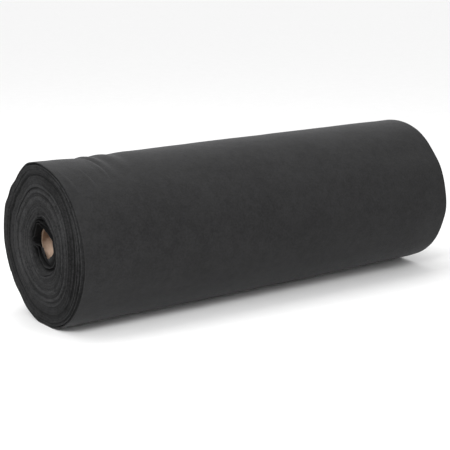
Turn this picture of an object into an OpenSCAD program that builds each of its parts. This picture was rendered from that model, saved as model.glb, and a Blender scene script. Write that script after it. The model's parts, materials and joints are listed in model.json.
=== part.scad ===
// Roll of soft backdrop sheet on a spiral-wound cardboard core.
// Lengths are in millimetres. +X runs along the roll, +Z is up, and the origin is on the core's
// axis, halfway along the roll. Angles go round that axis: 0 at the back (+Y), 90 at the top,
// 180 at the front and 270 underneath, where the roll lies on a narrow flat.

/* [Roll] */
// Width of the sheet, which is the length of the roll
sheet_w = 914; // [600:1:1400]
// Diameter over the last turn
roll_d = 322; // [280:1:360]
// Thickness of the sheet
sheet_t = 0.8; // [0.6:0.1:1]
// Air between the loose last turns, which also clears the free end
turn_gap = 0.3; // [0.3:0.05:0.5]
// Number of loose turns round the hard-wound roll, the one with the free end included
loose_turns = 3; // [2:1:4]
// Width of the flat that the roll's own weight presses underneath
flat_w = 60; // [40:1:70]

/* [Core] */
// Bore of the cardboard core
core_id = 76.2; // [50:0.1:80]
// Thickness of the kraft liner that shows inside the bore
liner_t = 0.7; // [0.5:0.1:1]
// Thickness of the grey board plies
board_t = 2.6; // [2:0.1:4]
// Thickness of the kraft ply outside the board
wrap_t = 0.7; // [0.5:0.1:1]
// How far each end of the core sits inside the wound sheet
core_recess = 20; // [10:1:30]
// Width of the double-sided tape that starts the sheet on the core
start_tape_w = 25; // [15:1:30]

/* [Wound sheet] */
// Number of first turns that stay slack round the core
slack_turns = 3; // [2:1:4]
// Radius where the firmly wound heart ends and the outer winding starts
heart_r = 109; // [90:1:120]
// How far the heart's edges stand proud of the outer winding at each end
heart_proud = 2; // [1:0.5:4]

/* [Free end] */
// Arc of each of the hinged panels that stand for the flexible free end
panel_arc = 15; // [10:5:15]
// Angle at which the free edge lies, behind and below the axis
free_edge_angle = -30; // [-40:5:-20]
// Width of one strip of tape that holds the free edge down
tape_w = 25; // [20:1:38]
// Number of those strips
tapes = 3; // [2:1:5]

/* [Hidden] */
tail_panels = 6;            // as many as NODES names

cloth = "#343434";
kraft = "#b48a66";
grey_board = "#8f8577";
tape_cream = "#d9c79a";

facet = 5;                  // angle of one flat of a wound strip
hair = 0.02;                // least angle between two points of a path
roll_r = roll_d / 2;
pitch = sheet_t + turn_gap; // growth of the radius in one loose turn

core_w = sheet_w - 2 * core_recess;
liner_r = core_id / 2;
board_r = liner_r + liner_t;
wrap_r = board_r + board_t;
core_r = wrap_r + wrap_t;
start_tape_t = 0.2;
air = 0.2;                  // slack cloth's gap to its neighbours
slack_pitch = sheet_t + air;
first_r = core_r + start_tape_t + air / 2;
heart_inner_r = first_r + slack_pitch * slack_turns + sheet_t + air;
outer_winding_r = roll_r - pitch * loose_turns - sheet_t - 3 * air;

fold_w = 0.7 * core_recess; // how far a fold reaches in from the roll's end
fold_bulge_r = 0.6 * first_r;

underneath_turned = 270 - free_edge_angle;          // angle wound before the first pass underneath
flat_sag = roll_r - sqrt(pow(roll_r, 2) - pow(flat_w / 2, 2));

panel_gap = 0.5;
half_gap_angle = panel_gap / 2 / roll_r * 180 / PI;
tape_t = 0.15;
tape_lap = 10;              // arc of tape on the free end, and again below it
edge_step = 0.15;           // arc in which the tape steps down over the free edge

// ---- Paths round the axis ----

function on_circle(r, a) = r * [cos(a), sin(a)];

// Radius at angle a once everything lower than depth h is pressed flat
function pressed(r, a, h) = -sin(a) * r > h ? h / -sin(a) : r;

// The loose turns are measured by the angle turned since the free edge
function turned_radius(turned) = roll_r - pitch * turned / 360;
function flat_depth(turned) =
    turned_radius(underneath_turned) - flat_sag - pitch * floor(turned / 360);
function loose_point(turned, inset) =
    let (a = turned + free_edge_angle)
    on_circle(pressed(turned_radius(turned) - inset, a, flat_depth(turned) - inset), a);

// The first turns are measured by the angle turned since the sheet's start, and wind the other way
function slack_point(turned, inset) =
    on_circle(first_r + slack_pitch * turned / 360 + inset, -turned);

// Both ends of a path, and every multiple of the facet's angle between them
function steps(from, to) = concat(
    [from],
    [for (a = [ceil((from + hair) / facet) * facet : facet : to - hair]) a],
    [to]
);

function reversed(list) = [for (i = [len(list) - 1 : -1 : 0]) list[i]];

// ---- Shapes that repeat ----

// A profile of the Y-Z plane, drawn out along X between two places
module along_roll(from, to)
    translate([from, 0, 0])
        rotate([90, 0, 90])
            linear_extrude(to - from)
                children();

// A tube round the axis
module tube(inner, outer, from, to)
    translate([from, 0, 0])
        rotate([0, 90, 0])
            difference() {
                cylinder(h = to - from, r = outer, $fn = 180);
                translate([0, 0, -1])
                    cylinder(h = to - from + 2, r = inner, $fn = 180);
            }

// A stretch of the loose turns, between two angles turned since the free edge
module loose_strip(from, to) {
    turns = steps(from, to);
    along_roll(-sheet_w / 2, sheet_w / 2)
        polygon(concat(
            [for (s = turns) loose_point(s, 0)],
            reversed([for (s = turns) loose_point(s, sheet_t)])
        ));
}

// The part of a tube over the flat, cut off underneath
module pressed_tube(inner, outer, depth, half_w)
    intersection() {
        tube(inner, outer, -half_w, half_w);
        translate([-half_w - 1, -outer - 1, -depth])
            cube([2 * half_w + 2, 2 * outer + 2, outer + depth + 1]);
    }

// ---- Core ----

module core_liner()
    color(kraft) tube(liner_r, board_r, -core_w / 2, core_w / 2);

module core_board()
    color(grey_board) tube(board_r, wrap_r, -core_w / 2, core_w / 2);

module core_wrap()
    color(kraft) tube(wrap_r, core_r, -core_w / 2, core_w / 2);

module start_tape() {
    arc = start_tape_w / core_r * 180 / PI;
    color(tape_cream)
        intersection() {
            tube(core_r, core_r + start_tape_t, -core_w / 2, core_w / 2);
            along_roll(-core_w / 2, core_w / 2)
                polygon([[0, 0], on_circle(2 * core_r, 0), on_circle(2 * core_r, arc)]);
        }
}

// ---- Wound sheet ----

module first_turns() {
    turns = steps(0, 360 * slack_turns);
    color(cloth)
        along_roll(-sheet_w / 2, sheet_w / 2)
            polygon(concat(
                [for (s = turns) slack_point(s, 0)],
                reversed([for (s = turns) slack_point(s, sheet_t)])
            ));
}

module heart_winding()
    color(cloth)
        tube(heart_inner_r, heart_r, -sheet_w / 2 - heart_proud, sheet_w / 2 + heart_proud);

module outer_winding()
    color(cloth)
        pressed_tube(heart_r, outer_winding_r, flat_depth(360 * loose_turns) - air, sheet_w / 2);

module last_turns()
    color(cloth)
        loose_strip(tail_panels * panel_arc + half_gap_angle, 360 * loose_turns);

// Slack cloth of the first turns, fallen in by `reach` over the core's mouth at the low-X end
module mouth_fold(middle, reach, arc)
    color(cloth)
        along_roll(-sheet_w / 2, -sheet_w / 2 + fold_w)
            intersection() {
                polygon([for (s = steps(0, 360 - facet)) slack_point(s, 0)]);
                translate(on_circle(first_r + fold_bulge_r - reach, middle))
                    circle(r = fold_bulge_r, $fn = 90);
                polygon([[0, 0], on_circle(2 * first_r, middle - arc / 2),
                         on_circle(2 * first_r, middle + arc / 2)]);
            }

module mouth_fold_back() mouth_fold(40, 13, 70);
module mouth_fold_bottom() mouth_fold(250, 11, 80);

// ---- Free end ----

// Panels are numbered from the one that stays joined to the roll
module tail_panel(number) {
    root = (tail_panels - number + 1) * panel_arc - half_gap_angle;
    tip = (tail_panels - number) * panel_arc + (number == tail_panels ? 0 : half_gap_angle);
    color(cloth) loose_strip(tip, root);
}

// One strip: stuck on the free end, stepping down over its edge, then along the turn below
module edge_tape() {
    upper = steps(0, tape_lap);
    lower = steps(360 - tape_lap, 360 - edge_step);
    lower_outside = steps(360 - tape_lap, 360 - 2 * edge_step);
    along_roll(-tape_w / 2, tape_w / 2)
        polygon(concat(
            [for (s = lower) loose_point(s, -turn_gap)],
            [for (s = upper) loose_point(s, 0)],
            reversed([for (s = upper) loose_point(s, -tape_t)]),
            reversed([for (s = lower_outside) loose_point(s, -turn_gap - tape_t)])
        ));
}

module edge_tapes() {
    spacing = sheet_w / tapes;
    color(tape_cream)
        for (i = [0 : tapes - 1])
            translate([(i - (tapes - 1) / 2) * spacing, 0, 0])
                edge_tape();
}

core_liner();
core_board();
core_wrap();
start_tape();
first_turns();
heart_winding();
outer_winding();
last_turns();
mouth_fold_back();
mouth_fold_bottom();
tail_panel(1);  // tail_panel_1
tail_panel(2);  // tail_panel_2
tail_panel(3);  // tail_panel_3
tail_panel(4);  // tail_panel_4
tail_panel(5);  // tail_panel_5
tail_panel(6);  // tail_panel_6
edge_tapes();
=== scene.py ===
"""Looks of a roll of soft black backdrop cloth on a recessed cardboard core.

Metres and degrees. +X runs along the roll. Angles go round its axis as in the CAD: 0 at the back (+Y),
90 at the top, 180 at the front, 270 underneath. The low-X end is the near one, with the crumpled mouth.
"""
import json
import math

import bpy
import numpy as np
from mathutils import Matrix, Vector


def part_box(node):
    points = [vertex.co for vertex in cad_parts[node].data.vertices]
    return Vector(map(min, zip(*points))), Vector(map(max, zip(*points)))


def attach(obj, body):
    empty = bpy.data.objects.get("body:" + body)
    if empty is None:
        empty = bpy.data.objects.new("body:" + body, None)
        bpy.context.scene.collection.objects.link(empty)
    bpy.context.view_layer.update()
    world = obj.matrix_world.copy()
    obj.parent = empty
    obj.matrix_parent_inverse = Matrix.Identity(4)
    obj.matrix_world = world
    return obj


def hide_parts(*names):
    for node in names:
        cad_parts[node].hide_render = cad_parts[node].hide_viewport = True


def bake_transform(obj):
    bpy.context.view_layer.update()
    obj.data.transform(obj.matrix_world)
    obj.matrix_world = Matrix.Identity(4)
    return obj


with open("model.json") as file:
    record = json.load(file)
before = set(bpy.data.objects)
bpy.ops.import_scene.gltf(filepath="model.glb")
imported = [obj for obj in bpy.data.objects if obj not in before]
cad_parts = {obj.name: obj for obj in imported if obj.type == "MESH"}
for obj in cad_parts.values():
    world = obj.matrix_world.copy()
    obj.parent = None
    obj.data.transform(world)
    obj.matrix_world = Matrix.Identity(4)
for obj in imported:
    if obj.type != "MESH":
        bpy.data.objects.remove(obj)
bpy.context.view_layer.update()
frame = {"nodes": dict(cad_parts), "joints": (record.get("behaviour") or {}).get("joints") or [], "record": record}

SEED = 7

# ---- Sizes, from the frame ----

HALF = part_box("last_turns")[1].x                  # half the cloth's width
REST_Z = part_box("last_turns")[0].z
CORE_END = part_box("core_liner")[1].x
LINER_R = frame["record"]["mounts"][0]["dims"]["r_mm"] / 1000
BOARD_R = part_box("core_liner")[1].z
WRAP_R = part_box("core_board")[1].z
CORE_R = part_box("core_wrap")[1].z
HEART_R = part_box("heart_winding")[1].z
OUTER_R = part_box("outer_winding")[1].z

SHEET_T = 0.0008                                  # thickness of the cloth
PITCH = 0.0011                                    # growth of one loose turn
LOOSE_TURNS = 3
SLACK_PITCH = 0.001                               # growth of one slack turn
SLACK_TURNS = 3
FIRST_R = CORE_R + 0.0003                         # outside the start tape
HEART_IN_R = FIRST_R + SLACK_PITCH * (SLACK_TURNS + 1)
FREE_EDGE = -30                                   # angle of the free edge
PANEL_ARC = 15
PANELS = [joint["child"] for joint in frame["joints"]]
HINGES = [Vector(joint["pos_m"]) for joint in frame["joints"]]
TAIL_ARC = PANEL_ARC * len(PANELS)
ROLL_R = math.hypot(HINGES[0].y, HINGES[0].z) + PITCH * TAIL_ARC / 360
BOTTOM_R = ROLL_R - PITCH * (270 - FREE_EDGE) / 360
FLAT_SAG = BOTTOM_R + REST_Z                      # how far the flat underneath lies inside the circle

# ---- Unevenness ----

# Outline of the last turn at each end: (angle, share of the roll's radius)
NEAR_OUTLINE = [(4, 1.006), (9, 1.001), (14, 0.993), (20, 0.999), (29, 0.958), (38, 0.968), (47, 0.951),
                (60, 0.992), (70, 1.020), (84, 1.010), (98, 0.993), (118, 0.980), (140, 0.964), (176, 0.956),
                (205, 0.970), (232, 0.996), (262, 0.994), (290, 0.988), (300, 0.984), (310, 0.962),
                (322, 0.988), (332, 0.987), (341, 1.004), (352, 1.023)]
FAR_OUTLINE = [(20, 0.985), (60, 0.993), (92, 0.990), (118, 0.994), (138, 0.980), (152, 1.004), (169, 1.007),
               (185, 1.030), (200, 1.014), (218, 1.011), (228, 0.997), (245, 0.974), (262, 0.985),
               (320, 0.990)]
# At the low-X end, shares of the radius again: the innermost edge of the slack first turns, and the
# edge of the wound heart round them
MOUTH = [(2, 0.285), (10, 0.255), (20, 0.200), (34, 0.205), (46, 0.232), (57, 0.285), (68, 0.262),
         (82, 0.200), (104, 0.182), (128, 0.192), (150, 0.214), (188, 0.232), (205, 0.202), (220, 0.178),
         (244, 0.165), (258, 0.135), (268, 0.095), (285, 0.060), (307, 0.045), (325, 0.048),
         (342, 0.070), (351, 0.130), (357, 0.250)]
RIM = [(0, 0.335), (45, 0.330), (72, 0.352), (95, 0.360), (125, 0.326), (160, 0.324), (186, 0.337),
       (208, 0.358), (218, 0.372), (234, 0.360), (256, 0.362), (274, 0.388), (300, 0.352), (335, 0.316)]

# Round the top near the low-X end, a shallow dip with ridges across it: distance from the end, angle,
# half spread, height, half width along the roll
RIDGES = [(0.080, 88, 60, -0.0066, 0.125), (0.160, 88, 60, -0.0025, 0.050),
          (0.068, 88, 56, -0.0022, 0.020), (0.030, 88, 56, -0.0013, 0.018),
          (0.045, 84, 44, 0.0023, 0.016), (0.086, 86, 42, 0.0014, 0.011), (0.113, 84, 44, 0.0029, 0.014),
          (0.148, 86, 42, 0.0034, 0.024), (0.016, 112, 34, 0.0012, 0.010),
          (0.006, 168, 58, 0.0005, 0.012), (0.046, 160, 64, 0.0006, 0.018), (0.074, 182, 46, 0.0003, 0.014)]
# Short creases lower down, in the same terms
CREASES = [(0.397, 231, 15, -0.0005, 0.005), (0.406, 231, 17, 0.0006, 0.010),
           (0.668, 230, 15, -0.0005, 0.005), (0.677, 230, 17, 0.0006, 0.010),
           (0.397, 152, 13, 0.0007, 0.005), (0.245, 205, 9, 0.0005, 0.006), (0.530, 176, 10, 0.0004, 0.007)]

# Bands of turns that stand out at the ends: outer radius as a share of the roll's, metres proud
BANDS_NEAR = [(0.32, 0.0002), (0.36, 0.0013), (0.40, 0.0004), (0.435, 0.0018), (0.465, 0.0007),
              (0.50, 0.0020), (0.53, 0.0006), (0.565, 0.0018), (0.60, 0.0007), (0.635, 0.0018),
              (0.68, 0.0026), (0.715, 0.0004), (0.75, 0.0014), (0.785, 0.0002), (0.82, 0.0013),
              (0.85, -0.0009), (0.88, 0.0011), (0.905, -0.0012), (0.93, 0.0010), (0.955, -0.0012),
              (1.1, 0.0003)]
BANDS_FAR = [(0.36, 0.0008), (0.44, 0.0024), (0.55, 0.0012), (0.68, 0.0026), (0.76, -0.0004),
             (0.84, 0.0009), (0.92, -0.0007), (1.1, 0.0004)]

# How far back into the mouth the innermost edge of the slack turns lies: angle, metres
TUCK = [(20, 0.001), (90, 0.0015), (150, 0.002), (205, 0.002), (240, 0.003), (268, 0.003), (345, 0.003),
        (358, 0.001)]

# Gaps between turns at the low-X end: share of the radius, middle angle, half spread, width
GAPS = [(0.293, 92, 42, 0.0012), (0.305, 86, 40, 0.0011), (0.322, 98, 44, 0.0009), (0.362, 246, 50, 0.0012),
        (0.400, 152, 60, 0.0007), (0.445, 172, 64, 0.0009), (0.485, 60, 60, 0.0006), (0.520, 196, 60, 0.0009),
        (0.560, 160, 66, 0.0008), (0.600, 186, 60, 0.0010), (0.640, 150, 60, 0.0007), (0.683, 54, 68, 0.0020),
        (0.715, 190, 62, 0.0012), (0.755, 168, 66, 0.0012), (0.795, 186, 62, 0.0014), (0.830, 24, 52, 0.0011),
        (0.845, 178, 64, 0.0032), (0.893, 182, 66, 0.0040), (0.905, 44, 60, 0.0009), (0.935, 180, 68, 0.0044),
        (0.966, 184, 70, 0.0042), (0.982, 178, 74, 0.0020), (0.989, 184, 74, 0.0014)]
BAND_TILT = 0.0007                                # how much a band's edge is tilted
BAND_TILT_TURN = 137                              # from the way one band tilts to the way the next does
BAND_SOFTNESS = 0.0022                            # share of the radius over which one band steps to the next
# The front of the near end stands back: beyond a share of the radius, middle angle, half spread, depth
SET_BACK = (0.82, 180, 78, 0.0040)
SINGLE_JITTER = 0.00028                           # unevenness of the edge from one turn to the next
GROUPED_JITTER = 0.00046                          # and from a few turns to the next few
LINT_PER_METRE = 450                              # edges that stand proud gather more lint
GAP_REACH = 0.09                                  # how far along the roll the gaps run out
GAP_STEEPNESS = 6                                 # a gap's depth over its width
GAP_DEEPEST = 0.009
# One turn's edge has three points: where they lie across it, and how deep each is. The first is in the
# seam between two turns, which is where a gap opens.
ACROSS_EDGE = np.array([0.0, 0.24, 0.80])
EDGE_DEPTH = np.array([1.0, 0.0, 0.06]) * 0.00045
IN_SEAM = np.array([1.0, 0.0, 0.0])

# The roll is firm up to the first share of its radius, and from the second on it takes the outline's shape
FIRM = (0.29, 0.96)
GIVE_CURVE = 1.2
# How far along the roll each end's outline runs out, and how much sooner that is at the front of the near end
NEAR_REACH, FAR_REACH = 0.30, 0.5
FRONT_SOONER = 0.20
# How deep the wrinkles of the last turns go, and over how much of that depth they fade
SKIN_DEPTH, SKIN_FADE = 0.012, 0.008
# The crumpled mouth pushes outwards the turns that are wound inside this radius, this far along the roll
SPREAD_R, SPREAD_REACH = 0.090, 0.021
SPREAD_FREEDOM = 0.7                              # share of its depth by which such a turn may pass the flat
# How far along the roll the slack turns are out of round at the mouth, and how far they are drawn back
CRUMPLE_REACH, TUCK_REACH = 0.0195, 0.034


# ---- Shape of the wound cloth ----

def fade(distance, reach):
    """1 at no distance, falling smoothly to 0 at reach."""
    return (1 + np.cos(np.pi * np.clip(np.abs(distance) / reach, 0, 1))) / 2


def fade_round(angle, middle, spread):
    return fade((angle - middle + 180) % 360 - 180, spread)


def smooth_round(table, spread):
    """A function of the angle that runs smoothly through a table of angles and values."""
    degrees = np.arange(360)
    line = np.interp(degrees, *zip(*table), period=360)
    weight = fade_round(degrees, 0, spread)
    smooth = np.fft.ifft(np.fft.fft(line) * np.fft.fft(weight / weight.sum())).real
    return lambda angle: np.interp(angle, degrees, smooth, period=360)


near_outline = smooth_round(NEAR_OUTLINE, 5)
far_outline = smooth_round(FAR_OUTLINE, 8)
mouth = smooth_round(MOUTH, 4)
rim = smooth_round(RIM, 14)
tuck = smooth_round(TUCK, 8)


def ripples(u, v, size, seed):
    """Smooth unevenness from about -1 to 1, with swells of about size: a sum of plane waves."""
    rng = np.random.default_rng(SEED + seed)
    waves = 9
    full_turn = 6.3
    total = 0
    for turn, phase, scale in rng.random((waves, 3)):
        across = u * np.cos(full_turn * turn) + v * np.sin(full_turn * turn)
        total = total + np.sin(2 * np.pi / (size * (0.7 + scale)) * across + full_turn * phase)
    return total / np.sqrt(waves)


def skin(wound_r):
    """1 in the loose last turns, falling to 0 a little way into the roll."""
    return np.clip((wound_r - ROLL_R + SKIN_DEPTH) / SKIN_FADE, 0, 1)


def surface_relief(wound_r, angle, x):
    """Ridges, creases and slight unevenness of the outermost turns."""
    from_end = x + HALF
    total = 0
    for at, middle, spread, height, half_w in RIDGES:
        slant = 0.00012 * (angle - middle)
        total = total + height * fade(from_end - at - slant, half_w) * fade_round(angle, middle, spread)
    for at, middle, spread, height, half_w in CREASES:
        total = total + height * fade(from_end - at, half_w) * fade_round(angle, middle, spread)
    arc = np.radians(angle % 360) * ROLL_R
    total = total + 0.00035 * (1 + ripples(x, arc, 0.16, 1))
    total = total + 0.00010 * (1 + ripples(x * 0.6, arc, 0.035, 2))
    return total * skin(wound_r)


def gap_push(layer_r, angle, pitch):
    """How far the gaps inside it push out the turn wound at layer_r, at the low-X end."""
    total = 0
    for after, middle, spread, width in GAPS:
        since = (middle + 180 - angle) % 360 / 360
        outside = layer_r - pitch * since > after * ROLL_R
        total = total + width * outside * fade_round(angle, middle, spread)
    return total


def lie(wound_r, angle, x, push):
    """The radius at which cloth wound at wound_r lies, where the gaps inside it add up to push."""
    give = np.clip((wound_r / ROLL_R - FIRM[0]) / (FIRM[1] - FIRM[0]), 0, 1) ** GIVE_CURVE
    near_reach = NEAR_REACH - FRONT_SOONER * fade_round(angle, 172, 70)
    near = (near_outline(angle) - 1) * fade(x + HALF, near_reach)
    far = (far_outline(angle) - 1) * fade(HALF - x, FAR_REACH)
    at_gaps = push - give * gap_push(2 * ROLL_R, angle, 0)
    inside = np.clip((SPREAD_R - wound_r) / (SPREAD_R - HEART_IN_R), 0, 1)
    at_mouth = fade(x + HALF, SPREAD_REACH) * inside
    r = wound_r + give * ROLL_R * (near + far) + at_gaps * fade(x + HALF, GAP_REACH)
    r = r + at_mouth * (ROLL_R * rim(angle) - HEART_IN_R)
    return r + surface_relief(wound_r, angle, x)


def pressed(r, wound_r, angle):
    """r, but no lower than the flat on which the roll lies."""
    down = np.maximum(-np.sin(np.radians(angle)), 1e-6)
    wound = np.minimum(wound_r, BOTTOM_R)
    free = SPREAD_FREEDOM * np.maximum(SPREAD_R - wound, 0)
    return np.minimum(r, (wound + free - FLAT_SAG * (wound / BOTTOM_R) ** 3) / down)


def around(x, r, angle):
    a = np.radians(angle)
    return np.stack(np.broadcast_arrays(x, r * np.cos(a), r * np.sin(a)), axis=-1)


def more_in_front(angle, spread):
    """The ends are more uneven at the front than at the back."""
    return 0.6 + 0.9 * fade_round(angle, 160, spread)


def band_offset(wound_r, angle, bands):
    """How proud of the roll's end the cloth's edge stands, stepping from band to band."""
    share, total, before, inner = wound_r / ROLL_R, 0, 0, 0
    for i, (outer, proud) in enumerate(bands):
        tilt = BAND_TILT * np.cos(np.radians(angle - BAND_TILT_TURN * i))
        offset = proud * more_in_front(angle, 100) + tilt
        total = total + (offset - before) * (1 / (1 + np.exp(-(share - inner) / BAND_SOFTNESS)))
        before, inner = offset, outer
    return total


def set_back(wound_r, angle):
    """How far the ends of the outer turns stand back at the front of the low-X end."""
    share, middle, spread, depth = SET_BACK
    outer = np.clip((wound_r / ROLL_R - share) / (1 - share), 0, 1)
    return depth * outer ** 1.3 * fade_round(angle, middle, spread)


def edge_jitter(turns_in, angle, count, seed):
    """How unevenly the edges of the turns stand, singly and a few together."""
    rng = np.random.default_rng(SEED + seed)
    single = SINGLE_JITTER * rng.standard_normal(count + 2)
    grouped = GROUPED_JITTER * np.repeat(rng.standard_normal(count // 5 + 2), 5)[:count + 2]
    turn = np.minimum(turns_in.astype(int), count)
    moving = np.clip((turns_in - turn - 0.7) / 0.3, 0, 1)
    each = single + grouped
    value = each[turn] + (each[turn + 1] - each[turn]) * moving ** 2 * (3 - 2 * moving)
    return value * more_in_front(angle, 110)


# ---- Meshes ----

SHARP_ANGLE = 50


def volume(points, quads):
    """The volume inside a closed mesh, or less than 0 where its faces point inwards."""
    a, b, c, d = (points[quads[:, i]] for i in range(4))
    return float((a * np.cross(b, c)).sum() + (a * np.cross(c, d)).sum()) / 6


def make_mesh(name, points, quads, material, flat=None):
    """A closed mesh with smooth faces. flat gives each point its place on the flat cloth, or its wear."""
    points, quads = points.reshape(-1, 3), quads.reshape(-1, 4)
    if volume(points, quads) < 0:
        quads = quads[:, ::-1]
    mesh = bpy.data.meshes.new(name)
    mesh.from_pydata(points.tolist(), [], quads.tolist())
    mesh.polygons.foreach_set("use_smooth", np.ones(len(quads), bool))
    if flat is not None:
        layer = mesh.uv_layers.new(name="flat")
        layer.data.foreach_set("uv", flat.reshape(-1, 2)[quads.ravel()].ravel())
    mesh.materials.append(material)
    obj = bpy.data.objects.new(name, mesh)
    bpy.context.scene.collection.objects.link(obj)
    sharpen(obj)
    return obj


def sharpen(obj):
    """Marks the edges of the cloth as sharp, so that smooth shading doesn't round them."""
    bpy.ops.object.select_all(action="DESELECT")
    bpy.context.view_layer.objects.active = obj
    obj.select_set(True)
    bpy.ops.object.shade_smooth_by_angle(angle=math.radians(SHARP_ANGLE), keep_sharp_edges=True)


def grid(count, across):
    """Quads of a grid of points: count rows, each of which closes on itself."""
    i, j = np.meshgrid(np.arange(count - 1), np.arange(across), indexing="ij")
    after = (j + 1) % across
    this_row, next_row = i * across, (i + 1) * across
    return np.stack([this_row + j, next_row + j, next_row + after, this_row + after], -1).reshape(-1, 4)


def close_ends(count, size):
    """The quads of a ring-shaped grid, with a row of quads that closes each end of the strip."""
    column = np.arange(size // 2 - 1)
    first = np.stack([column, column + 1, size - 2 - column, size - 1 - column], -1)
    return np.concatenate([grid(count, size), first, first[:, ::-1] + (count - 1) * size])


def cloth_strip(name, turned, columns, place, material):
    """A strip of cloth. place(turned, x, inset) gives its points."""
    outer = place(turned[:, None], columns[None, :], 0.0)
    inner = place(turned[:, None], columns[None, ::-1], SHEET_T)
    ring = np.concatenate([outer, inner], axis=1)
    x = np.concatenate([columns, columns[::-1]])
    along = np.radians(turned) * ROLL_R
    flat = np.stack(np.broadcast_arrays(x[None, :], along[:, None]), -1)
    return make_mesh(name, ring, close_ends(len(turned), len(x)), material, flat)


def end_columns(near_step, near_reach, middle_step, far_step, far_reach):
    """Places along X: close together near the ends, far apart between."""
    near = np.arange(0, near_reach, near_step) - HALF
    far = HALF - np.arange(0, far_reach, far_step)[::-1]
    middle = np.linspace(near[-1], far[0], int((far[0] - near[-1]) / middle_step) + 1)[1:-1]
    return np.concatenate([near, middle, far])


def end_face(count, steps):
    """Quads of a wound part's end: two along each turn's edge, and one across to the next turn."""
    here = np.arange(count - 1) * 3
    face = [np.stack([here + p, here + p + 3, here + p + 4, here + p + 1], -1) for p in (0, 1)]
    here = np.arange(count - 1 - steps) * 3
    outwards = here + steps * 3
    face.append(np.stack([here + 2, here + 5, outwards + 3, outwards], -1))
    return np.concatenate(face)


def end_borders(count, steps):
    """The inner and outer borders of that face, each a closed loop with the step of one turn in it."""
    inner = np.concatenate([np.arange(steps + 1) * 3, [2, 1]])
    last_turn = np.arange(count - 1 - steps, count)
    outer = np.concatenate([last_turn * 3 + 2, [(count - 1) * 3 + 1, (count - 1) * 3]])
    return inner, outer


def wound_block(name, inner_r, outer_r, steps, walls, material):
    """A firmly wound part of the roll: one closed mesh whose two ends show the edge of every turn.

    Each point's wear is the lint on it, from 0 to 1, and how deep it lies in a gap, in metres."""
    turns = int((outer_r - inner_r) / SHEET_T + 0.01)
    pitch = (outer_r - inner_r) / (turns + 1)
    count = turns * steps + 1
    place = np.arange(count)
    base_r, angle = inner_r + pitch * place / steps, 360 * (1 - (place % steps) / steps)
    push, before = (gap_push(layer, angle, pitch)[:, None] for layer in (base_r, base_r - pitch))
    # The wall of a gap that faces the front is upright, and the other one slopes
    split = 0.5 + 0.5 * np.cos(np.radians(angle[:, None]))
    push = np.concatenate([before + (push - before) * split, push, push], -1)
    opened = np.maximum(push[:, 1:2] - before, 0)
    wound = base_r[:, None] + pitch * ACROSS_EDGE

    def end(sign, bands):
        a = angle[:, None]
        r = lie(wound, a, sign * HALF, push)
        jitter = edge_jitter(place / steps, angle, turns, int(outer_r * 1e4) + sign)
        proud = band_offset(wound, a, bands) + jitter[:, None]
        deep = np.minimum(opened * GAP_STEEPNESS, GAP_DEEPEST) * (sign < 0)
        notch = EDGE_DEPTH + IN_SEAM * deep
        back = set_back(wound, a) * (sign < 0)
        lint = np.broadcast_to(0.5 + LINT_PER_METRE * jitter[:, None], notch.shape)
        wear = np.stack([lint, notch], -1).reshape(-1, 2)
        return around(sign * (HALF + proud - notch - back), pressed(r, wound, a), a), wear

    (near, near_wear), (far, far_wear) = end(-1, BANDS_NEAR), end(1, BANDS_FAR)
    face = end_face(count, steps)
    points = [near.reshape(-1, 3), far.reshape(-1, 3)]
    quads = [face, face[:, ::-1] + count * 3]
    total = count * 6
    for loop, side in zip(end_borders(count, steps), (1, -1)):
        there, a = wound.ravel()[loop], np.repeat(angle, 3)[loop]
        rings = [loop]
        for x in walls:
            here = pressed(lie(there, a, x, push.ravel()[loop]), there, a)
            points.append(around(np.full(len(loop), x), here, a))
            rings.append(np.arange(len(loop)) + total)
            total += len(loop)
        rings.append(loop + count * 3)
        for one, two in zip(rings, rings[1:]):
            wall = np.stack([one, two, np.roll(two, -1), np.roll(one, -1)], -1)
            quads.append(wall[:, ::side])
    points = np.concatenate(points)
    wear = np.concatenate([near_wear, far_wear, np.tile([0.5, 0.0], (len(points) - 6 * count, 1))])
    return make_mesh(name, points, np.concatenate(quads), material, wear)


# ---- Materials ----

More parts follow.
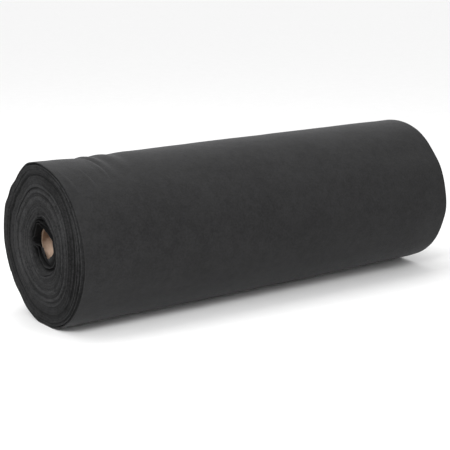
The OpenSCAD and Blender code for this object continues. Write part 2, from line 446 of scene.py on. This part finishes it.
class Nodes:
    """A material's node tree, with a short way to add and join nodes."""

    def __init__(self, name):
        self.material = bpy.data.materials.new(name)
        self.material.use_nodes = True
        self.tree = self.material.node_tree
        self.shader = self.tree.nodes["Principled BSDF"]

    def add(self, kind, inputs=None, **settings):
        node = self.tree.nodes.new("ShaderNode" + kind)
        for key, value in settings.items():
            setattr(node, key, value)
        for key, value in (inputs or {}).items():
            if isinstance(value, bpy.types.NodeSocket):
                self.tree.links.new(value, node.inputs[key])
            else:
                node.inputs[key].default_value = value
        return node

    def place(self):
        """Places in metres, in the piece's own frame."""
        return self.add("TexCoord").outputs["Object"]

    def noise(self, vector, scale, detail, roughness=0.6):
        return self.add("TexNoise", {"Vector": vector, "Scale": scale, "Detail": detail,
                                     "Roughness": roughness}).outputs["Fac"]

    def stretched(self, vector, scale):
        return self.add("Mapping", {"Vector": vector, "Scale": scale}).outputs["Vector"]

    def ramp(self, value, *stops):
        node = self.add("ValToRGB", {"Fac": value})
        elements = node.color_ramp.elements
        while len(elements) < len(stops):
            elements.new(0.5)
        for element, (at, grey) in zip(elements, stops):
            element.position = at
            element.color = (grey, grey, grey, 1)
        return node.outputs["Color"]

    def mix(self, factor, one, two, blend="MIX"):
        node = self.add("Mix", {"Factor": factor}, data_type="RGBA", blend_type=blend)
        for socket, value in ((node.inputs[6], one), (node.inputs[7], two)):
            if isinstance(value, bpy.types.NodeSocket):
                self.tree.links.new(value, socket)
            else:
                socket.default_value = (*value, 1)
        return node.outputs[2]

    def math(self, operation, one, two=0.5):
        return self.add("Math", {0: one, 1: two}, operation=operation).outputs[0]

    def bump(self, height, distance, strength, normal=None):
        inputs = {"Height": height, "Distance": distance, "Strength": strength}
        if normal is not None:
            inputs["Normal"] = normal
        return self.add("Bump", inputs).outputs["Normal"]

    def finish(self, **sockets):
        for key, value in sockets.items():
            socket = self.shader.inputs[key.replace("_", " ")]
            if isinstance(value, bpy.types.NodeSocket):
                self.tree.links.new(value, socket)
            else:
                socket.default_value = value
        return self.material


PAINTED_SHADE_BLACK = (0.0030, 0.0030, 0.0031)                  # painted shade: near-black colour of the cloth deep in the mouth and in the gaps, where shade falls
BOND_POINTS = 620.0                               # of the cloth, along one metre
LINT_LIGHTER = 3.2                                # how many times lighter lint is than the cloth
BOARD_PLY_T = 0.00052


def felt(name, dark, light, part="face", shine=0.22, sheen=0.12):
    """Matt black non-woven cloth: matted fibres, faint mottling and, on its face, tiny bond points.

    Deep inside the mouth and deep in the gaps between edges, painted shade makes the cloth blacker."""
    n = Nodes(name)
    place = n.place()
    fibres = n.noise(n.stretched(place, (1, 0.45, 0.45)), 1500, 4.0, 0.7)
    matting = n.noise(place, 260, 5.0, 0.7)
    mottle = n.noise(place, 60, 4.0, 0.6)
    cloudy = n.noise(place, 9, 3.0, 0.5)
    tone = n.math("ADD", n.math("MULTIPLY", matting, 0.58), n.math("MULTIPLY", mottle, 0.24))
    tone = n.math("ADD", tone, n.math("MULTIPLY", cloudy, 0.18))
    colour = n.mix(n.ramp(tone, (0.405, 0.0), (0.595, 1.0)), dark, light)
    lint = n.ramp(n.noise(place, 2600, 2.0, 0.5), (0.70, 0.0), (0.82, 1.0))
    colour = n.mix(n.math("MULTIPLY", lint, 0.35), colour, tuple(LINT_LIGHTER * c for c in light))
    if part == "mouth":
        # Painted shade: deeper into the mouth and higher up, the cloth turns near-black
        apart = n.add("SeparateXYZ", {"Vector": place}).outputs
        depth = n.math("MULTIPLY", n.math("ADD", apart["X"], HALF), 50.0)
        out_of_painted_shade = n.ramp(n.math("ADD", depth, n.math("MULTIPLY", apart["Z"], 5.0)), (0.10, 1.0), (0.36, 0.0))
        colour = n.mix(out_of_painted_shade, PAINTED_SHADE_BLACK, colour)
    if part == "edges":
        wear = n.add("SeparateXYZ", {"Vector": n.add("UVMap", uv_map="flat").outputs["UV"]}).outputs
        colour = n.mix(1.0, colour, n.ramp(wear["X"], (0.15, 0.35), (0.85, 1.0)), blend="MULTIPLY")
        # Painted shade: deep in a gap between edges the cloth turns near-black
        below = n.math("MULTIPLY", wear["Y"], 1000.0)
        colour = n.mix(n.ramp(below, (0.35, 0.0), (0.75, 1.0)), colour, PAINTED_SHADE_BLACK)
    normal = n.bump(fibres, 0.00016, 0.7)
    normal = n.bump(matting, 0.00045, 0.75, normal)
    normal = n.bump(mottle, 0.0011, 0.5, normal)
    if part == "face":
        flat = n.add("UVMap", uv_map="flat").outputs["UV"]
        cells = n.add("TexVoronoi", {"Vector": flat, "Scale": BOND_POINTS, "Randomness": 0.25},
                      voronoi_dimensions="2D").outputs["Distance"]
        normal = n.bump(n.ramp(cells, (0.12, 0.0), (0.42, 1.0)), 0.00012, 0.55, normal)
    roughness = n.ramp(matting, (0.3, 0.86), (0.7, 0.98))
    return n.finish(Base_Color=colour, Roughness=roughness, Normal=normal, Specular_IOR_Level=shine,
                    Sheen_Weight=sheen, Sheen_Roughness=0.45, Sheen_Tint=(0.8, 0.8, 0.82, 1))


def kraft(name):
    """Brown kraft paper with long fibres, flecks and faint slub lines along the spiral."""
    n = Nodes(name)
    place = n.place()
    fibre = n.noise(n.stretched(place, (1.0, 0.16, 0.16)), 900, 4.0, 0.7)
    blotch = n.noise(place, 45, 4.0, 0.6)
    flecks = n.ramp(n.noise(n.stretched(place, (0.5, 1, 1)), 1300, 2.0, 0.6), (0.66, 0.0), (0.74, 1.0))
    colour = n.mix(n.ramp(blotch, (0.35, 0.0), (0.65, 1.0)), (0.46, 0.33, 0.24), (0.65, 0.49, 0.38))
    colour = n.mix(n.ramp(fibre, (0.35, 0.0), (0.7, 0.35)), colour, (0.80, 0.62, 0.49))
    colour = n.mix(n.math("MULTIPLY", flecks, 0.5), colour, (0.20, 0.12, 0.07))
    apart = n.add("SeparateXYZ", {"Vector": place}).outputs
    # Painted shade: darker towards the top of the mouth and near the core's end, where the mouth's shadow falls
    deep = n.math("SUBTRACT", CORE_END, n.math("ABSOLUTE", apart["X"], 0.0))
    painted_shade = n.math("SUBTRACT", apart["Z"], n.math("MULTIPLY", deep, 0.9))
    painted_shade = n.math("ADD", painted_shade, n.math("MULTIPLY", n.math("SUBTRACT", blotch, 0.5), 0.05))
    painted_shade = n.ramp(n.math("MULTIPLY", n.math("ADD", painted_shade, 0.04), 27.0), (0.25, 0.0), (1.0, 0.96))
    colour = n.mix(painted_shade, colour, (0.12, 0.066, 0.038))
    normal = n.bump(fibre, 0.00012, 0.6)
    normal = n.bump(blotch, 0.0006, 0.35, normal)
    return n.finish(Base_Color=colour, Roughness=n.ramp(fibre, (0.3, 0.62), (0.7, 0.82)), Normal=normal,
                    Specular_IOR_Level=0.35)


def board(name):
    """Raw edge of grey-brown board: thin concentric plies with torn fibres."""
    n = Nodes(name)
    place = n.place()
    apart = n.add("SeparateXYZ", {"Vector": place}).outputs
    radius = n.math("SQRT", n.math("ADD", n.math("MULTIPLY", apart["Y"], apart["Y"]),
                                   n.math("MULTIPLY", apart["Z"], apart["Z"])))
    wander = n.math("MULTIPLY", n.noise(place, 60, 2.0), 0.0005)
    plies = n.math("SINE", n.math("MULTIPLY", n.math("ADD", radius, wander), 2 * math.pi / BOARD_PLY_T))
    torn = n.noise(place, 1600, 4.0, 0.7)
    colour = n.mix(n.ramp(torn, (0.3, 0.0), (0.7, 1.0)), (0.22, 0.17, 0.125), (0.42, 0.34, 0.26))
    colour = n.mix(n.ramp(plies, (0.0, 0.0), (0.25, 0.7)), (0.19, 0.145, 0.105), colour)
    normal = n.bump(torn, 0.0003, 0.8)
    normal = n.bump(plies, 0.0002, 0.5, normal)
    return n.finish(Base_Color=colour, Roughness=0.9, Normal=normal, Specular_IOR_Level=0.2)


def crepe_tape(name):
    """Cream masking tape: fine crepe ridges across it, slightly waxy."""
    n = Nodes(name)
    place = n.place()
    flat = n.add("UVMap", uv_map="flat").outputs["UV"]
    crepe = n.noise(n.stretched(flat, (60, 1500, 1)), 1.0, 3.0, 0.6)
    stain = n.noise(place, 70, 3.0, 0.6)
    colour = n.mix(n.ramp(crepe, (0.3, 0.0), (0.7, 1.0)), (0.60, 0.47, 0.26), (0.74, 0.61, 0.38))
    colour = n.mix(n.ramp(stain, (0.45, 0.0), (0.8, 0.35)), colour, (0.47, 0.36, 0.20))
    normal = n.bump(crepe, 0.00018, 0.8)
    return n.finish(Base_Color=colour, Roughness=0.55, Normal=normal, Specular_IOR_Level=0.4)


def pale_floor(name):
    n = Nodes(name)
    grain = n.noise(n.place(), 30, 3.0, 0.5)
    return n.finish(Base_Color=n.mix(grain, (0.86, 0.86, 0.86), (0.9, 0.9, 0.9)), Roughness=0.9,
                    Specular_IOR_Level=0.1)


CLOTH = felt("black_felt", (0.0078, 0.0078, 0.0080), (0.0170, 0.0170, 0.0174))
CLOTH_EDGES = felt("black_felt_edges", (0.0170, 0.0170, 0.0173), (0.0470, 0.0470, 0.0479), "edges",
                   shine=0.08, sheen=0.04)
CLOTH_INSIDE = felt("black_felt_inside", (0.0125, 0.0125, 0.0128), (0.0310, 0.0310, 0.0316), "mouth",
                    shine=0.08, sheen=0.04)
KRAFT = kraft("kraft_paper")
BOARD = board("raw_board")
TAPE = crepe_tape("masking_tape")
START_TAPE = kraft("start_tape_paper")


# ---- The wound cloth ----

def place_loose(turned, x, inset):
    """The loose last turns and the free end, by the angle turned since the free edge."""
    angle = turned + FREE_EDGE
    layer = ROLL_R - PITCH * turned / 360
    passes = np.floor(turned / 360)
    uneven_near, uneven_far = (0.0006 * ripples(angle / 60, passes * 3, 1.0, seed) for seed in (11, 12))
    recess_near = 0.0008 - 0.0011 * np.sin(2.1 * passes + 1.0) - uneven_near
    recess_near = recess_near + set_back(layer, angle)
    proud_far = 0.0004 + 0.0009 * np.sin(3.7 * passes) + uneven_far
    reach = 0.05
    shift = recess_near * fade(x + HALF, reach) + proud_far * fade(HALF - x, reach)
    r = lie(layer - inset, angle, x, gap_push(layer, angle, PITCH))
    return around(x + shift, pressed(r, layer - inset, angle), angle)


def place_slack(turned, x, inset):
    """The slack first turns, by the angle turned since the cloth's start; they crumple at the mouth."""
    angle = -turned
    wrap = turned / 360
    wound = FIRST_R + SLACK_PITCH * wrap + SHEET_T
    even = np.clip((wrap - 0.5) / (SLACK_TURNS - 0.5), 0, 1)
    early = 1 - (1 - even) ** 2.2
    outwards = early + (even - early) * fade_round(angle, 95, 60)
    inner, outer = mouth(angle) * ROLL_R, rim(angle) * ROLL_R - 0.0004
    fallen = inner + (outer - inner) * outwards
    tucked = tuck(angle) * (1 - outwards) + 0.0010 * (1 - even)
    ragged = 0.0008 * ripples(np.cos(np.radians(angle)) * 2 + wrap, np.sin(np.radians(angle)) * 2, 1.0, 21)
    drawn_in, pushed_out = tucked + ragged, 0.0015 * np.sin(4 * wrap)
    x = x + drawn_in * fade(x + HALF, TUCK_REACH) + pushed_out * fade(HALF - x, 0.04)
    share = fade(x + HALF, CRUMPLE_REACH) / fade(drawn_in, CRUMPLE_REACH)
    return around(x, wound + (fallen - wound) * np.minimum(share, 1) - inset, angle)


def rows(start, end, step):
    """Angles from start to end, about a step apart."""
    return np.linspace(start, end, max(2, round(abs(end - start) / step) + 1))


def make_roll():
    slack_columns = end_columns(near_step=0.0016, near_reach=0.030, middle_step=0.05, far_step=0.004,
                                far_reach=0.03)
    slack_rows = rows(360 * SLACK_TURNS, 0, 1.5)
    slack = cloth_strip("slack_first_turns", slack_rows, slack_columns, place_slack, CLOTH_INSIDE)
    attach(slack, "roll")
    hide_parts("first_turns", "mouth_fold_back", "mouth_fold_bottom")

    # Rings of points along the walls of the wound parts, close together where the near end is out of round
    near_walls = np.array([0.004, 0.010, 0.018, 0.030, 0.045, 0.060, 0.075, 0.090, 0.110, 0.135, 0.160,
                           0.190])
    walls = np.concatenate([near_walls, np.linspace(0.25, 2 * HALF - 0.03, 10), [2 * HALF - 0.012]]) - HALF
    heart_steps, outer_steps = 190, 240               # in one turn
    heart = wound_block("heart_of_roll", HEART_IN_R, HEART_R, heart_steps, walls, CLOTH_EDGES)
    clear = 0.0002
    outer = wound_block("outer_winding_of_roll", HEART_R + clear, OUTER_R, outer_steps, walls, CLOTH_EDGES)
    for obj, node in ((heart, "heart_winding"), (outer, "outer_winding")):
        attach(obj, "roll")
        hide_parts(node)

    root = TAIL_ARC + PANEL_ARC / 2
    last_columns = end_columns(near_step=0.004, near_reach=0.190, middle_step=0.015, far_step=0.006,
                               far_reach=0.08)
    turned = np.concatenate([rows(root, root + 12, 1), rows(root + 12, 360 * LOOSE_TURNS, 2.5)[1:]])
    last = cloth_strip("loose_last_turns", turned, last_columns, place_loose, CLOTH)
    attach(last, "roll")
    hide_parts("last_turns")

    # The free end: one piece per hinge, each from the middle of one panel to the middle of the next
    for i, hinge in enumerate(HINGES):
        top = TAIL_ARC - PANEL_ARC * (i - 0.5)
        bottom = 0 if i == len(HINGES) - 1 else top - PANEL_ARC
        piece = cloth_strip(f"free_end_{i + 1}", rows(bottom, top, 1), last_columns, place_loose, CLOTH)
        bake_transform(piece)
        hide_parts(PANELS[i])


# ---- Core ----

def ply(name, inner_r, outer_r, node, material, seam_lead, seam_height, ragged):
    """One ply of the core: a closed tube whose inside steps at the ply's spiral seam."""
    steps = 180
    angle = np.arange(steps) * 360 / steps
    near = np.concatenate([[0, 0.0003], np.arange(0.002, 0.09, 0.0022), np.arange(0.1, 0.8, 0.02)])
    columns = np.concatenate([near, 2 * CORE_END - near[::-1][-6:]]) - CORE_END
    a = angle[None, :]
    wear = ragged * ripples(a / 22, 0 * a, 1.0, 31 + len(name))
    x = columns[:, None] - wear * fade(columns[:, None] + CORE_END, 0.004)
    along = (columns[:, None] / seam_lead + a / 360) % 1
    step = seam_height * (np.exp(-along * 9) - np.exp(-(1 - along) * 60))
    soft = 0.0001 * ripples(columns[:, None] * 8, a / 60, 1.0, 41)
    # The corners of the cut ends are slightly worn
    lip = np.where(np.abs(columns[:, None]) > CORE_END - 0.0002, 0.00025, 0)
    inner = around(x, inner_r + step + lip + np.abs(soft), a)
    outer = around(x, outer_r - lip - 0.00002, a)[::-1]
    points = np.concatenate([inner, outer])
    quads = grid(len(points) + 1, steps) % (len(points) * steps)
    obj = make_mesh(name, points, quads, material)
    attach(obj, "roll")
    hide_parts(node)
    return obj


def make_core():
    liner = ply("core_liner_ply", LINER_R, BOARD_R, "core_liner", KRAFT,
                seam_lead=0.105, seam_height=0.00028, ragged=0.0004)
    middle = ply("core_board_plies", BOARD_R, WRAP_R, "core_board", BOARD,
                 seam_lead=0.12, seam_height=0.0, ragged=0.0003)
    wrap = ply("core_wrap_ply", WRAP_R, CORE_R, "core_wrap", KRAFT,
               seam_lead=0.11, seam_height=0.0, ragged=0.0004)


# ---- Tape ----

def make_tapes():
    """Three strips over the free edge, with torn ends, and the start tape under the first turn."""
    low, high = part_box("edge_tapes")
    lap = 10                                          # arc on each side of the free edge
    tape_t, tape_w, count = 0.00015, 0.025, 3
    clear = 0.00003                                   # between the tape and the free end
    lower_clear = 0.00025                             # added to that, between the tape and the turn below
    row_length = 0.0014                               # of tape, from one row of points to the next
    torn_step = 0.14                                  # widest angle between two teeth of a torn end
    spacing = (high.x - low.x - tape_w) / (count - 1)
    rng = np.random.default_rng(SEED + 50)
    for i in range(count):
        middle = low.x + tape_w / 2 + i * spacing
        upper, lower = rows(lap, 0.0, 0.5), rows(360, 360 - lap, 0.5)
        across = np.linspace(-tape_w / 2, tape_w / 2, 26)[None, :]
        torn = [torn_step * np.cumsum(rng.uniform(-1, 1, across.shape[1]))[None, :] for _ in range(2)]

        def sheet_points(raised):
            path = []
            for turned, more in ((upper, 0.0), (lower, lower_clear)):
                t = turned[:, None]
                pulled = np.where(t < 180, fade(t - lap, 3) * torn[0], -fade(360 - t - lap, 3) * torn[1])
                creased = 0.00006 * ripples(across * 90 + 7 * i, t % 350 * 0.9, 1.0, 60 + i)
                path.append(place_loose(t + pulled, middle + across, -raised - more - np.abs(creased)))
            return np.concatenate(path)

        under, over = sheet_points(clear), sheet_points(clear + tape_t)
        ring = np.concatenate([under, over[:, ::-1]], axis=1)
        u = np.concatenate([across[0], across[0][::-1]])
        v = np.arange(len(ring)) * row_length
        flat = np.stack(np.broadcast_arrays(u[None, :], v[:, None]), -1)
        tape = make_mesh(f"edge_tape_{i + 1}", ring, close_ends(len(ring), len(u)), TAPE, flat)
        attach(tape, PANELS[-1])
        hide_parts("edge_tapes")
    start = frame["nodes"]["start_tape"]
    start.data.materials.clear()
    start.data.materials.append(START_TAPE)


# ---- Camera, light and floor ----

def make_camera():
    azimuth, elevation = math.radians(-36.10), math.radians(13.33)
    distance, target = 17.588 * ROLL_R, Vector((-0.1628 * ROLL_R, 0, -0.1126 * ROLL_R))
    back = Vector((math.sin(azimuth) * math.cos(elevation), -math.cos(azimuth) * math.cos(elevation),
                   math.sin(elevation)))
    data = bpy.data.cameras.new("camera")
    data.sensor_width, data.lens = 36, 108.07
    data.clip_start, data.clip_end = 0.05, 100
    camera = bpy.data.objects.new("camera", data)
    camera.location = target + back * distance
    camera.rotation_mode = "QUATERNION"
    camera.rotation_quaternion = (-back).to_track_quat("-Z", "Y")
    bpy.context.scene.collection.objects.link(camera)
    bpy.context.scene.camera = camera


def area_light(name, place, aim, size, power):
    data = bpy.data.lights.new(name, "AREA")
    data.shape, data.size, data.size_y, data.energy = "RECTANGLE", size[0], size[1], power
    light = bpy.data.objects.new(name, data)
    light.location = place
    light.rotation_mode = "QUATERNION"
    light.rotation_quaternion = (Vector(aim) - Vector(place)).to_track_quat("-Z", "Y")
    bpy.context.scene.collection.objects.link(light)


def make_studio():
    mesh = bpy.data.meshes.new("floor")
    reach = 40
    mesh.from_pydata([(-reach, -reach, REST_Z), (reach, -reach, REST_Z), (reach, reach, REST_Z),
                      (-reach, reach, REST_Z)], [], [(0, 1, 2, 3)])
    mesh.materials.append(pale_floor("pale_floor"))
    floor = bpy.data.objects.new("floor", mesh)
    bpy.context.scene.collection.objects.link(floor)

    world = bpy.data.worlds.new("studio")
    world.use_nodes = True
    background = world.node_tree.nodes["Background"].inputs
    background["Color"].default_value = (1, 1, 1, 1)
    background["Strength"].default_value = 1.05
    bpy.context.scene.world = world
    bpy.context.scene.view_settings.view_transform = "Standard"

    area_light("overhead", place=(-0.05, 0.35, 1.9), aim=(-0.05, 0, 0), size=(0.8, 1.4), power=17)
    area_light("near_end", place=(-1.5, -1.0, 1.0), aim=(-0.45, 0, 0), size=(0.5, 0.5), power=20)


make_camera()
make_core()
make_roll()
make_tapes()
make_studio()
